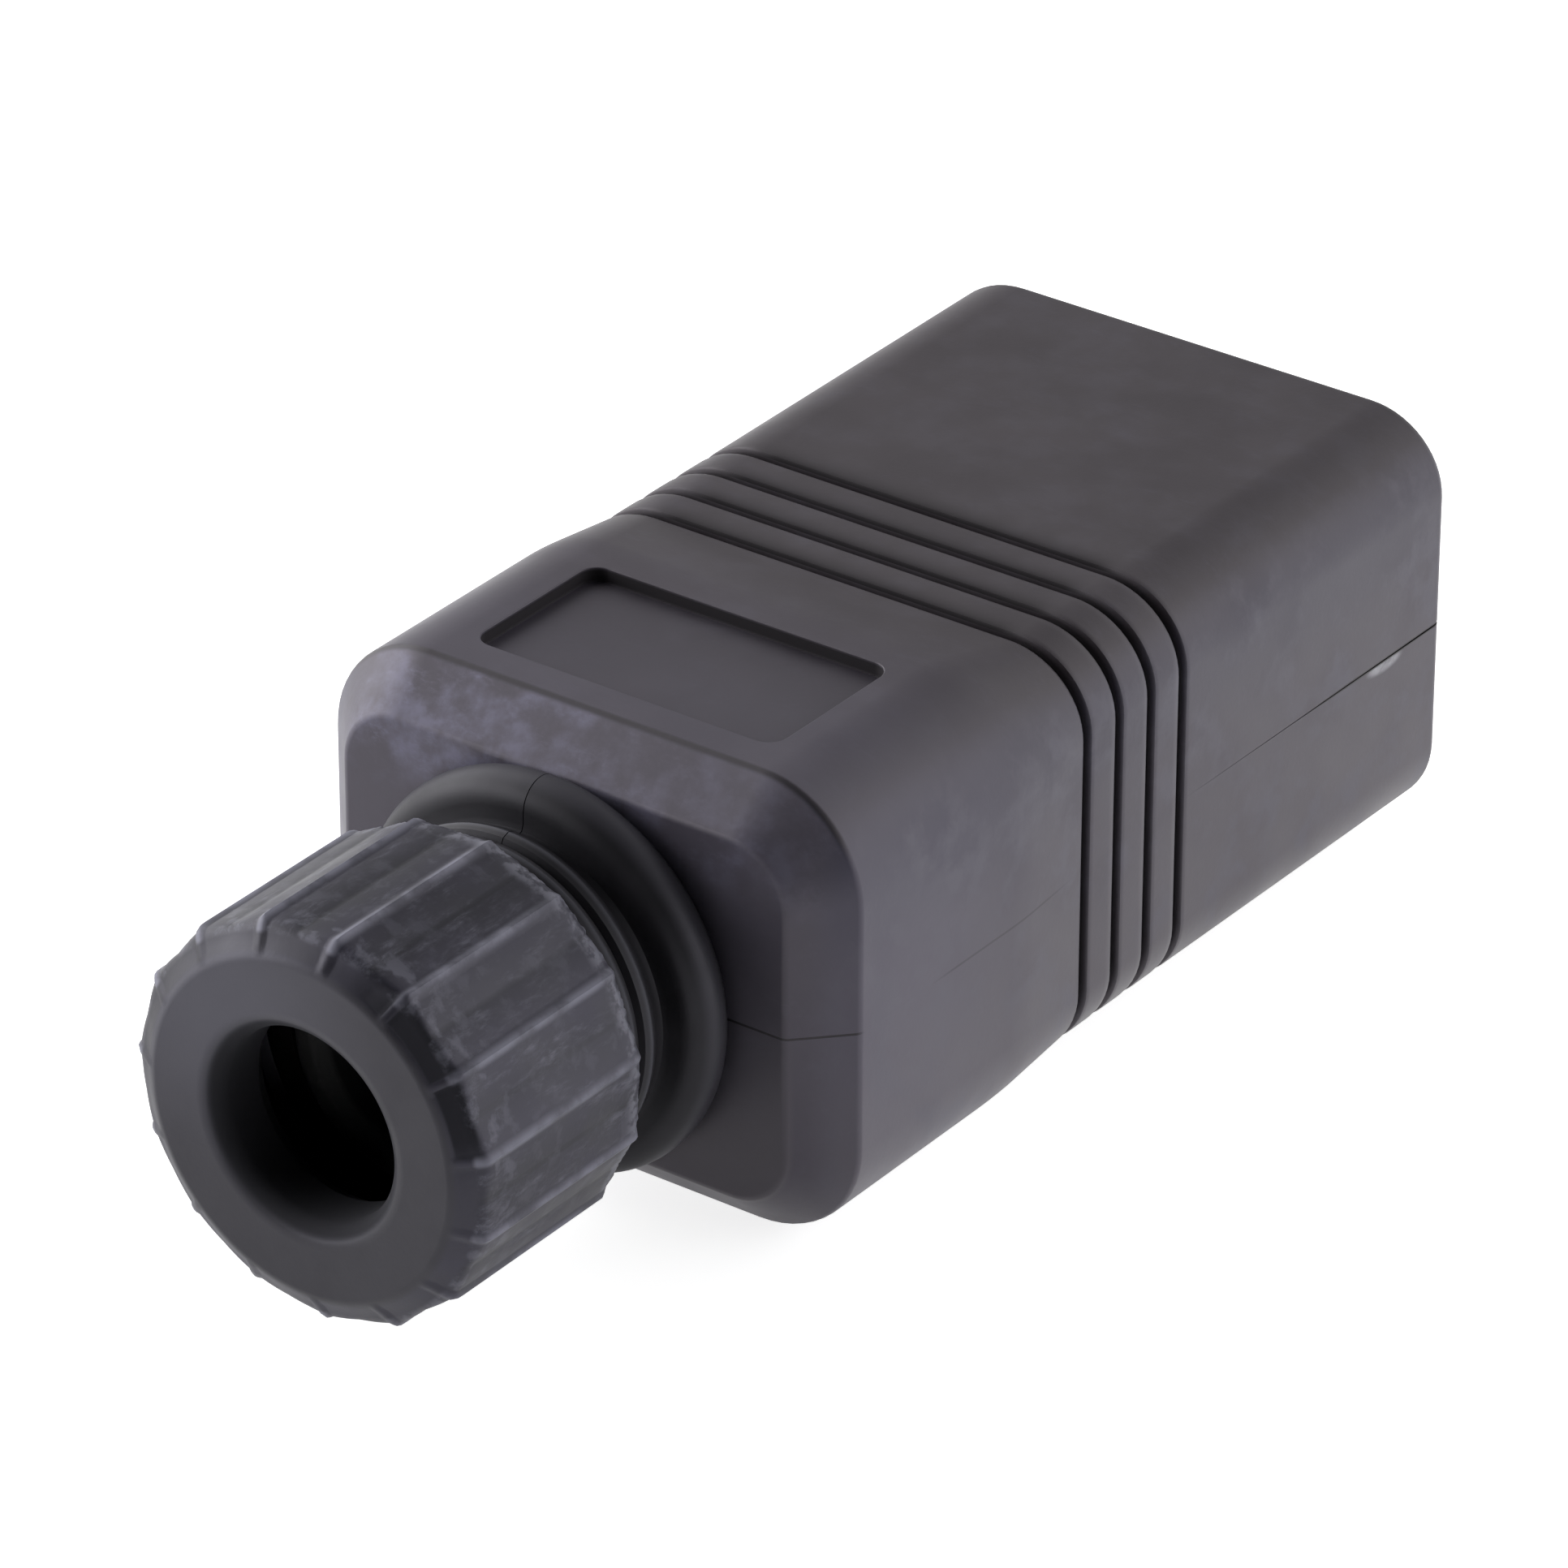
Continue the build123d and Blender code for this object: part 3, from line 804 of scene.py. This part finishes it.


# housing: satin plastic, rubbed pale on the chamfer, dark seams, and painted sheen, light and shade; places
# in mm

housingLook = {
    "base": (0.042, 0.036, 0.042), "cloud": (0.055, 0.048, 0.055), "rough": (0.42, 0.55),
    "grainDepth": 0.006, "skin": {"Grain": 0.32, "Mottle": 6.0, "Scuff Stretch": (0.45, 1.0, 1.0)},
    "shader": {"Specular IOR Level": 0.5, "Specular Tint": (1.0, 0.93, 1.0, 1)},
    "scuff": (0.165, 0.16, 0.232), "seamAndShade": (0.006, 0.005, 0.006), "flash": (0.42, 0.42, 0.46),
    "sheenAndHandlingY": (6.0, -12.0, 0.0, 0.2), "sideX": (15.5, 17.2), "side": 0.14,
    "chamferY": (-15.9, -16.6), "chamferTop": (20.0, 24.0),
    "chamferSide": (11.0, -8.0, 0.35, 1.2), "chamferEnd": (-16.5, -12.0, 0.1, 1.0),
    "cloudSkin": {"Grain": 0.9, "Mottle": 2.6}, "streakSkin": {"Scuff Stretch": (0.7, 1.4, 1.4)},
    "rubMottle": (0.36, 0.62), "rubGrain": (0.25, 0.7, 0.45, 1.0), "rubbed": 0.85,
    "streaks": 0.6, "scuffs": 0.08,
    "blotch": (0.1, 0.097, 0.125), "blotchCloud": (0.4, 0.66), "blotchMottle": (0.38, 0.62),
    "blotches": 0.75, "blotchesOnTop": 0.2,
    "frontY": (-18.7, -19.0), "pale": (0.15, 0.14, 0.15), "paleZ": (17.0, 4.0, 0.0, 0.3),
    "cool": (0.026, 0.026, 0.05), "coolZ": (16.0, 22.0, 0.0, 0.45),
    "edgeY": -16.15, "edgeWidth": (0.3, 0.05), "edgeZ": (24.0, 26.0, 0.0, 0.8),
    "seamY": [(-15.8, -16.4, 0.0, 0.95), (26.0, 30.0, 0.0, 0.95)],  # dark at the nose and the mating end
    "seamFaint": [(-10.0, -7.0), (4.5, 1.5, 0.0, 0.45)],
    "seamWidth": (27.0, 33.0, 0.05, 0.09), "seamSoft": (1.8, 1.0),
    "grooveDark": (-0.15, -0.5), "wallTop": (27.95, 27.8), "wallFoot": (27.14, 27.17), "wallSlack": 0.05,
    "shaded": 0.9, "shadedRough": 0.85,
    "topX": (13.4, 10.6), "topZ": (24.5, 26.0), "topLift": 0.75,
    "shadeStart": 0.6, "shadeFoot": 0.32, "shadeEnd": 2.4, "shadeDepth": 0.9, "shadeRough": 0.42,
    "fleck": {"Place": (17.3, 35.8, 13.75), "Reach": (0.8, 2.1, 0.62), "Inner": 0.45},
    "fleckTop": (13.9, 13.84), "fleckGrain": (0.25, 0.6, 0.3, 0.9),
}


def inBox(axes, low, high):  # 1 inside limits along one or more axes
    return both(*[sums("LESS_THAN", awayFrom(axis, (a + b) / 2), (b - a) / 2)
                  for axis, a, b in zip(axes, low, high)])


def insideWaist(apart, form):  # distance from the waist's outline, below zero in the grooves
    corner = form["waistCorner"]
    over = []
    for axis, size, centre in ((apart["X"], form["waist"][0], 0.0), (apart["Z"], form["waist"][1], axisZ)):
        past = most(sums("SUBTRACT", awayFrom(axis, centre), size / 2 - corner), 0.0)
        over.append(both(past, past))
    return sums("SUBTRACT", sums("SQRT", sums("ADD", *over)), corner)


def chamferWear(tree, apart, skin, cloud, look):  # pale rubbing along the top of the chamfer
    soft = both(ease(cloud["Mottle"], *look["rubMottle"]), ease(cloud["Height"], *look["rubGrain"]))
    streaks = use(tree, "moulded", look["streakSkin"])["Scuffs"]
    worn = sums("MULTIPLY_ADD", streaks, look["streaks"], both(soft, look["rubbed"]))
    worn = both(worn, ease(apart["Y"], *look["chamferY"]), ease(apart["Z"], *look["chamferTop"]),
                ease(apart["X"], *look["chamferSide"]), ease(apart["X"], *look["chamferEnd"]))
    return sums("MULTIPLY_ADD", skin["Scuffs"], look["scuffs"], worn)


def sideTints(apart, skin, cloud, onSide, colour, look):  # painted light low on the sides and front face, a painted bluish sheen high on the sides, and blotches
    standing = most(onSide, ease(apart["Y"], *look["frontY"]))
    colour = tint(both(standing, ease(apart["Z"], *look["paleZ"])), colour, look["pale"])
    colour = tint(both(onSide, ease(apart["Z"], *look["coolZ"])), colour, look["cool"])
    spread = sums("MULTIPLY_ADD", onSide, 1 - look["blotchesOnTop"], look["blotchesOnTop"])
    blotch = both(ease(cloud["Mottle"], *look["blotchCloud"]),
                  ease(skin["Mottle"], *look["blotchMottle"]), spread, look["blotches"])
    return tint(blotch, colour, look["blotch"])


def partingSeam(apart, look):  # dark line, strong at both ends and faint on the side of the nose
    begins, ends = look["seamFaint"]
    faint = both(ease(apart["Y"], *begins), ease(apart["Y"], *ends))
    dark = most(faint, *[ease(apart["Y"], *span) for span in look["seamY"]])
    width = ease(apart["Y"], *look["seamWidth"])
    away = sums("DIVIDE", awayFrom(apart["Z"], axisZ), width)
    return both(ease(away, *look["seamSoft"]), dark)


def ridgeShade(apart, onTop, look, form):  # on top, each ridge is dark at its groove and fades to the next
    pitch, foot = form["groovePitch"], look["shadeFoot"]
    y = sums("SUBTRACT", apart["Y"], form["waistY"] + look["shadeStart"])
    along = sums("MODULO", sums("MINIMUM", y, form["grooves"] * pitch - look["shadeStart"]), pitch)
    fade = sums("DIVIDE", sums("SUBTRACT", look["shadeEnd"], along), look["shadeEnd"] - foot)
    fade = sums("MINIMUM", most(fade, 0.0), 1.0)
    return both(fade, fade, sums("GREATER_THAN", along, foot), onTop, look["shadeDepth"])


def hollows(apart, onTop, look, form):  # painted shade in the grooves and on the label field's wall
    lastGroove = form["waistY"] + form["grooves"] * form["groovePitch"]
    groove = both(inBox([apart["Y"]], [form["waistY"]], [lastGroove]),
                  ease(insideWaist(apart, form), *look["grooveDark"]),
                  sums("MULTIPLY_ADD", onTop, -look["topLift"], 1.0))
    halfX, halfY = (size / 2 + look["wallSlack"] for size in form["label"])
    y = form["labelY"]
    onLabel = inBox([apart["X"], apart["Y"]], [-halfX, y - halfY], [halfX, y + halfY])
    wall = both(onLabel, ease(apart["Z"], *look["wallTop"]), ease(apart["Z"], *look["wallFoot"]))
    return most(groove, wall)


def housingPlastic(look, form):
    material, skin, colour, rough = newSkin("housingPlastic", look)
    tree = material.node_tree
    apart = put(tree, "SeparateXYZ", Vector=inMm(tree)).outputs
    cloud = use(tree, "moulded", look["cloudSkin"])
    fromMiddle = sums("ABSOLUTE", apart["X"])
    onSide = ease(fromMiddle, *look["sideX"])
    # paler, bluish sides and nose: painted sheen, with wear from handling
    sheenAndHandling = sums("MULTIPLY_ADD", onSide, look["side"], ease(apart["Y"], *look["sheenAndHandlingY"]))
    colour = tint(sheenAndHandling, colour, look["scuff"])
    colour = tint(chamferWear(tree, apart, skin, cloud, look), colour, look["scuff"])
    colour = sideTints(apart, skin, cloud, onSide, colour, look)
    # painted shade: a dark line along the top edge of the nose chamfer
    edge = both(ease(awayFrom(apart["Y"], look["edgeY"]), *look["edgeWidth"]),
                ease(apart["Z"], *look["edgeZ"]))
    onTop = both(ease(fromMiddle, *look["topX"]), ease(apart["Z"], *look["topZ"]))
    ridge = ridgeShade(apart, onTop, look, form)
    shaded = hollows(apart, onTop, look, form)
    lines = most(partingSeam(apart, look), both(shaded, look["shaded"]))
    # the seam is a real dark joint; the edge line, ridges, grooves and label wall get painted shade
    for mask in (edge, ridge, lines):
        colour = tint(mask, colour, look["seamAndShade"])
    fleck = both(use(tree, "softSpot", look["fleck"])["Mask"], ease(apart["Z"], *look["fleckTop"]),
                 ease(cloud["Height"], *look["fleckGrain"]))
    colour = tint(fleck, colour, look["flash"])
    rough = most(rough, both(shaded, look["shadedRough"]))
    rough = sums("MULTIPLY_ADD", ridge, look["shadeRough"], rough)
    return wire(material, look, skin, colour, rough)


# gland nut: scuffed pale on ribs and rear edge, with painted highlights, light and shade; degrees from a
# rib, mm from the front, face or rear

glandLook = {
    "base": (0.016, 0.015, 0.022), "cloud": (0.032, 0.03, 0.044), "rough": (0.4, 0.54), "grainDepth": 0.007,
    "skin": {"Grain": 0.28, "Mottle": 3.5, "Scuff Stretch": (1.0, 0.3, 1.0)},
    "shader": {"Specular IOR Level": 0.5, "Specular Tint": (0.85, 0.83, 0.98, 1)},
    "ridge": (0.21, 0.21, 0.26), "burr": (0.17, 0.17, 0.205), "valley": (0.006, 0.006, 0.008),
    "front": (0.018, 0.017, 0.019), "frontLit": (0.062, 0.06, 0.074), "bore": (0.016, 0.016, 0.018),
    "spotSkin": {"Grain": 0.7, "Mottle": 1.4},
    "lit": {"Place": (-6.5, -41.9, 21.0), "Reach": (14.0, 30.0, 13.0), "Inner": 0.1},
    "dark": {"Place": (8.8, -41.2, 20.4), "Reach": (7.5, 4.0, 7.5), "Inner": 0.5},
    "outside": (11.1, 11.4), "flatFront": (0.3, 0.05),
    "shoulderBack": (1.35, 0.95), "shoulderOut": (0.05, 0.35), "blendLit": (0.1, 0.6), "blend": 0.8,
    "dimRib": (0.8, 1.6, 0.2, 0.95),
    "slope": (2.0, 0.45), "valleyEdge": (1.8, 0.4), "valleyDark": 0.85,
    "ridgeHalf": (2.4, 0.2), "ridgeMottle": (0.36, 0.62, 0.2, 0.9), "streaks": 0.5,
    "patchSpots": (0.5, 0.66), "patchBack": (5.0, 1.5, 0.25, 0.8), "patches": 0.45,
    "rearReach": (1.5, 0.5), "ragSpots": (0.42, 0.6, 0.15, 0.9), "boreEdge": (6.9, 6.1), "matt": 0.9,
}


def glandPlastic(look, form):
    material, skin, colour, rough = newSkin("glandPlastic", look)
    tree = material.node_tree
    spots = use(tree, "moulded", look["spotSkin"])
    axis = use(tree, "roundAxis")
    half = 180 / form["ribs"]
    phase = sums("PINGPONG", sums("SUBTRACT", axis["Turn"], form["firstRib"]), half)
    back = sums("SUBTRACT", axis["Along"], form["frontY"])
    outside = ease(axis["Radius"], *look["outside"])

    lit = use(tree, "softSpot", look["lit"])["Mask"]
    front = tint(lit, look["front"], look["frontLit"])
    colour = tint(ease(back, *look["flatFront"]), colour, front)
    shoulder = both(ease(back, *look["shoulderBack"]),
                    ease(sums("SUBTRACT", axis["Radius"], form["face"]), *look["shoulderOut"]))
    blend = both(shoulder, ease(lit, *look["blendLit"]), look["blend"])
    colour = tint(blend, colour, look["front"])

    # painted shade: flanks darker towards each valley, a dark line in the valley, and a painted shadow on
    # the shoulder at the right
    slopeFrom, slopeDark = look["slope"]
    line = ease(phase, *[half - edge for edge in look["valleyEdge"]], 0.0, look["valleyDark"])
    valley = both(most(ease(phase, slopeFrom, half, 0.0, slopeDark), line), outside)
    shadow = use(tree, "softSpot", look["dark"])["Mask"]
    dim = both(shoulder, shadow, ease(phase, *look["dimRib"]))
    colour = tint(most(valley, dim), colour, look["valley"])

    # pale rib tips: partly wear, partly painted highlight; the scuffs and patches are wear
    rubbed = both(ease(phase, *look["ridgeHalf"]), ease(skin["Mottle"], *look["ridgeMottle"]))
    patches = both(ease(spots["Mottle"], *look["patchSpots"]), ease(back, *look["patchBack"]))
    worn = most(rubbed, both(skin["Scuffs"], look["streaks"]), both(patches, look["patches"]))
    colour = tint(both(worn, outside), colour, look["ridge"])
    atRear = ease(sums("SUBTRACT", form["rearY"], axis["Along"]), *look["rearReach"])
    ragged = both(atRear, ease(spots["Height"], *look["ragSpots"]), outside)
    colour = tint(ragged, colour, look["burr"])

    # painted shade: darker and matt inside the bore
    inBore = ease(axis["Radius"], *look["boreEdge"])
    colour = tint(inBore, colour, look["bore"])
    rough = most(rough, both(most(inBore, dim), look["matt"]))
    return wire(material, look, skin, colour, rough)


# cord grip: darker, with a painted highlight on the thread's crest and on the bead's crown; bands in mm

gripLook = {
    "base": (0.012, 0.0115, 0.014), "cloud": (0.018, 0.017, 0.02), "rough": (0.46, 0.6), "grainDepth": 0.005,
    "skin": {"Grain": 0.25, "Mottle": 4.0, "Scuff Stretch": (1.0, 2.0, 1.0)},
    "shader": {"Specular IOR Level": 0.36, "Specular Tint": (0.92, 0.9, 1.0, 1)},
    "crest": (0.06, 0.06, 0.072), "crestBand": 0.1, "neckBand": 0.4,
    "crown": (0.052, 0.05, 0.062), "crownBand": 0.5, "crownHighlight": 0.6,
}


def gripPlastic(look, form):
    material, skin, colour, rough = newSkin("gripPlastic", look)
    axis = use(material.node_tree, "roundAxis")
    onNeck = ease(axis["Along"], form["beadEndY"], form["beadEndY"] - look["neckBand"])
    # painted highlight on the thread's crests
    crest = ease(axis["Radius"], form["crest"] - look["crestBand"], form["crest"])
    colour = tint(both(onNeck, crest), colour, look["crest"])
    # painted highlight on the bead's crown
    crown = ease(axis["Radius"], form["beadRadius"] - look["crownBand"], form["beadRadius"])
    colour = tint(both(crown, look["crownHighlight"]), colour, look["crown"])
    return wire(material, look, skin, colour, rough)


# inner pieces: brass, plated steel, black moulding, rubber and washer plastic

innerLooks = {
    "pins": {
        "base": (0.62, 0.44, 0.2), "cloud": (0.76, 0.58, 0.3), "scuff": (0.86, 0.72, 0.46),
        "scuffs": 0.6, "skin": {"Grain": 0.2, "Mottle": 4.0, "Scuff Stretch": (3.0, 0.15, 3.0)},
        "grainDepth": 0.002, "rough": (0.32, 0.48), "shader": {"Metallic": 1.0}},
    "screws": {
        "base": (0.5, 0.5, 0.49), "cloud": (0.66, 0.65, 0.6), "scuff": (0.78, 0.78, 0.78),
        "scuffs": 0.5, "skin": {"Grain": 0.15, "Mottle": 1.5}, "grainDepth": 0.003,
        "rough": (0.28, 0.46), "shader": {"Metallic": 1.0}},
    "insulator": {
        "base": (0.02, 0.019, 0.02), "cloud": (0.034, 0.032, 0.034), "scuff": (0.07, 0.068, 0.07),
        "scuffs": 0.4, "skin": {"Grain": 0.3, "Mottle": 5.0, "Scuff Stretch": (0.5, 1.0, 0.5)},
        "grainDepth": 0.008, "rough": (0.48, 0.66)},
    "seal": {
        "base": (0.04, 0.04, 0.042), "cloud": (0.06, 0.06, 0.062), "scuff": (0.1, 0.098, 0.096),
        "scuffs": 0.5, "skin": {"Grain": 0.4, "Mottle": 2.5}, "grainDepth": 0.015,
        "rough": (0.7, 0.9)},
    "washer": {
        "base": (0.026, 0.025, 0.028), "cloud": (0.038, 0.037, 0.041), "scuff": (0.08, 0.08, 0.085),
        "scuffs": 0.4, "skin": {"Grain": 0.5, "Mottle": 3.0}, "grainDepth": 0.004,
        "rough": (0.34, 0.5)},
}


def innerSkin(name, look):
    material, skin, colour, rough = newSkin(name, look)
    colour = tint(both(skin["Scuffs"], look["scuffs"]), colour, look["scuff"])
    return wire(material, look, skin, colour, rough)


def dress(piece, material):
    piece.data.materials.clear()
    piece.data.materials.append(material)


housingSkin = housingPlastic(housingLook, housingForm)
for shell in shells:
    dress(shell, housingSkin)
dress(glandNut, glandPlastic(glandLook, nutForm))
gripSkin = gripPlastic(gripLook, gripForm)
for half in gripHalves:
    dress(half, gripSkin)
innerSkins = {slot: innerSkin(slot + "Skin", look) for slot, look in innerLooks.items()}
dress(housingScrews, innerSkins["screws"])
for name, body, slot, width in innerForm.values():
    dress(bpy.data.objects[name], innerSkins[slot])
print("materials made")


# camera at the photograph's angle

cameraForm = {
    "azimuth": 36.15, "elevation": 29.15, "roll": 0.16, "lens": 216.7, "sensor": 36, "clip": 0.01,
    "aim": (0.0, -16.15, 14.0), "unit": 17.8, "eye": (0.575, 0.461, 28.86),  # right, up and back, in units
}


def makeCamera(form):
    turn, lift, roll = (math.radians(form[k]) for k in ("azimuth", "elevation", "roll"))
    back = Vector((math.sin(turn) * math.cos(lift), -math.cos(turn) * math.cos(lift), math.sin(lift)))
    right = Vector((math.cos(turn), math.sin(turn), 0))
    up = back.cross(right)
    right, up = (right * math.cos(roll) + up * math.sin(roll), up * math.cos(roll) - right * math.sin(roll))
    offset = right * form["eye"][0] + up * form["eye"][1] + back * form["eye"][2]
    eye = Vector(form["aim"]) + form["unit"] * offset
    data = bpy.data.cameras.new("photoView")
    data.lens = form["lens"]
    data.sensor_width = form["sensor"]
    data.clip_start = form["clip"]
    camera = bpy.data.objects.new("photoView", data)
    bpy.context.scene.collection.objects.link(camera)
    camera.matrix_world = Matrix.Translation(eye * mm) @ Matrix((right, up, back)).transposed().to_4x4()
    bpy.context.scene.camera = camera


makeCamera(cameraForm)
bpy.context.scene.view_settings.view_transform = "Standard"


# pale floor, white surround and soft light, in metres

stageForm = {
    "floorSize": 3.0, "floorZ": -0.0001, "floorLift": 0.8, "mirrored": (-0.025, -0.005, 0.5, 1.0),
    "floorShader": {"Base Color": (0.9, 0.9, 0.9, 1), "Roughness": 0.9, "Specular IOR Level": 0.1,
                    "Emission Color": (1, 1, 1, 1)},
    "aim": (0.0, 0.0, 0.014),
    "glows": {  # soft glows of the surround: direction round from +X, height, half width and level
        "backGlow": (126, 30, 45, 0.4), "rightBackGlow": (60, 25, 45, 1.35), "rightGlow": (20, 15, 40, 1.8),
        "leftGlow": (180, 25, 45, 3.0)},
    "glowCore": 5,
    "lamps": {  # direction, distance, size and level; a level of 1 shows a facing colour as it is written
        "leftLamp": ((-0.75, -0.55, 0.3), 0.5, (0.4, 0.3), 0.55)},
}


def seenWhite(tree, form):  # lift where the floor is seen, and in reflections, dimmer towards the camera
    path = put(tree, "LightPath").outputs
    along = put(tree, "SeparateXYZ", Vector=put(tree, "TexCoord").outputs["Object"]).outputs["Y"]
    mirrored = most(path["Is Glossy Ray"], path["Is Transmission Ray"])
    return sums("ADD", both(path["Is Camera Ray"], form["floorLift"]),
                both(mirrored, ease(along, *form["mirrored"])))


def makeFloor(form):
    floor = begin("plane", size=form["floorSize"], location=(0, 0, form["floorZ"]))
    floor.name = "floor"
    material = newMaterial("paleFloor", form["floorShader"])
    tree = material.node_tree
    tree.links.new(seenWhite(tree, form), tree.nodes["Principled BSDF"].inputs["Emission Strength"])
    dress(floor, material)


def makeSurround(form):
    world = bpy.data.worlds.new("studio")
    bpy.context.scene.world = world
    world.use_nodes = True
    tree = world.node_tree
    back = tree.nodes["Background"]
    back.inputs["Color"].default_value = (1, 1, 1, 1)
    towards = put(tree, "TexCoord").outputs["Generated"]
    core = math.cos(math.radians(form["glowCore"]))
    light = 0.0
    for turn, lift, spread, level in form["glows"].values():
        turn, lift = math.radians(turn), math.radians(lift)
        facing = put(tree, "VectorMath", {"operation": "DOT_PRODUCT"}, Vector=towards)
        facing.inputs[1].default_value = (math.cos(turn) * math.cos(lift), math.sin(turn) * math.cos(lift),
                                          math.sin(lift))
        glow = ease(facing.outputs["Value"], math.cos(math.radians(spread)), core, 0.0, level)
        light = sums("ADD", glow, light)
    seen = put(tree, "LightPath").outputs["Is Camera Ray"]  # plain white where the camera sees it
    unseen = both(light, sums("SUBTRACT", 1.0, seen))
    tree.links.new(sums("ADD", unseen, seen), back.inputs["Strength"])


def makeLamps(form):
    for name, (direction, distance, size, level) in form["lamps"].items():
        data = bpy.data.lights.new(name, "AREA")
        data.shape = "RECTANGLE"
        data.size, data.size_y = size
        data.energy = level * math.pi ** 2 * distance ** 2
        lamp = bpy.data.objects.new(name, data)
        bpy.context.scene.collection.objects.link(lamp)
        towards = Vector(direction).normalized()
        lamp.location = Vector(form["aim"]) + towards * distance
        lamp.rotation_mode = "QUATERNION"
        lamp.rotation_quaternion = towards.to_track_quat("Z", "Y")


makeFloor(stageForm)
makeSurround(stageForm)
makeLamps(stageForm)
print("stage set")
